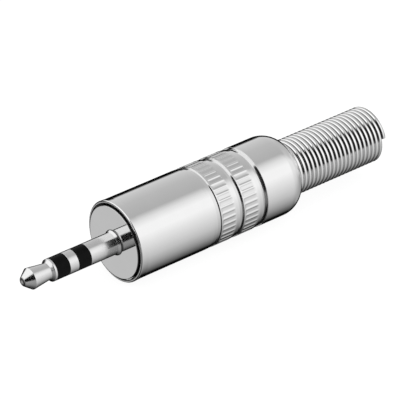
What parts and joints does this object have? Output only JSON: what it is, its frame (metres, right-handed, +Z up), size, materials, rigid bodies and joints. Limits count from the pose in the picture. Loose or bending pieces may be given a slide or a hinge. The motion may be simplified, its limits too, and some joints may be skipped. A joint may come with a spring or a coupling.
{
  "type": "stereo jack plug",
  "caption": "Metal stereo jack plug with a banded contact pin, a screw-on knurled shell and a coiled spring cable guard.",
  "frame": {"origin": "centre of the plug body's front face, where the pin leaves it", "axes": "+X along the plug's axis towards the cable, so the tip points to -X; +Z up"},
  "size_m": [0.0473, 0.0092, 0.0092],
  "materials": {
    "pin_nickel": "polished nickel plate on turned brass",
    "body_nickel": "polished nickel plate on turned brass",
    "shell_nickel": "satin nickel plate on turned brass",
    "spring_nickel": "nickel-plated round spring wire",
    "black_insulator": "glossy black moulded plastic",
    "lug_tin": "tinned stamped brass sheet",
    "washer_laminate": "brown paper laminate",
    "tube_plastic": "thin clear-milky plastic tube"
  },
  "bodies": {
    "contacts": {"tip_contact": "pin_nickel", "tip_insulator": "black_insulator", "ring_contact": "pin_nickel", "ring_insulator": "black_insulator", "sleeve_contact": "pin_nickel", "plug_body": "body_nickel", "sleeve_lug": "lug_tin", "sleeve_washer": "washer_laminate", "ring_lug": "lug_tin", "ring_washer": "washer_laminate", "tip_lug": "lug_tin"},
    "guard": {"spring_guard": "spring_nickel"},
    "shell": {"shell": "shell_nickel", "insulating_tube": "tube_plastic"}
  },
  "joints": [
    {"name": "guard_travel", "type": "slide", "parent": "contacts", "child": "guard", "axis": [1, 0, 0], "range_m": [0, 0.0045]},
    {"name": "shell_turn", "type": "hinge", "parent": "guard", "child": "shell", "pos_m": [0, 0, 0], "axis": [1, 0, 0], "range_deg": [0, 2160]}
  ],
  "couplings": [
    {"joint": "shell_turn", "follows": "guard_travel", "rad_per_m": 8377.6}
  ]
}
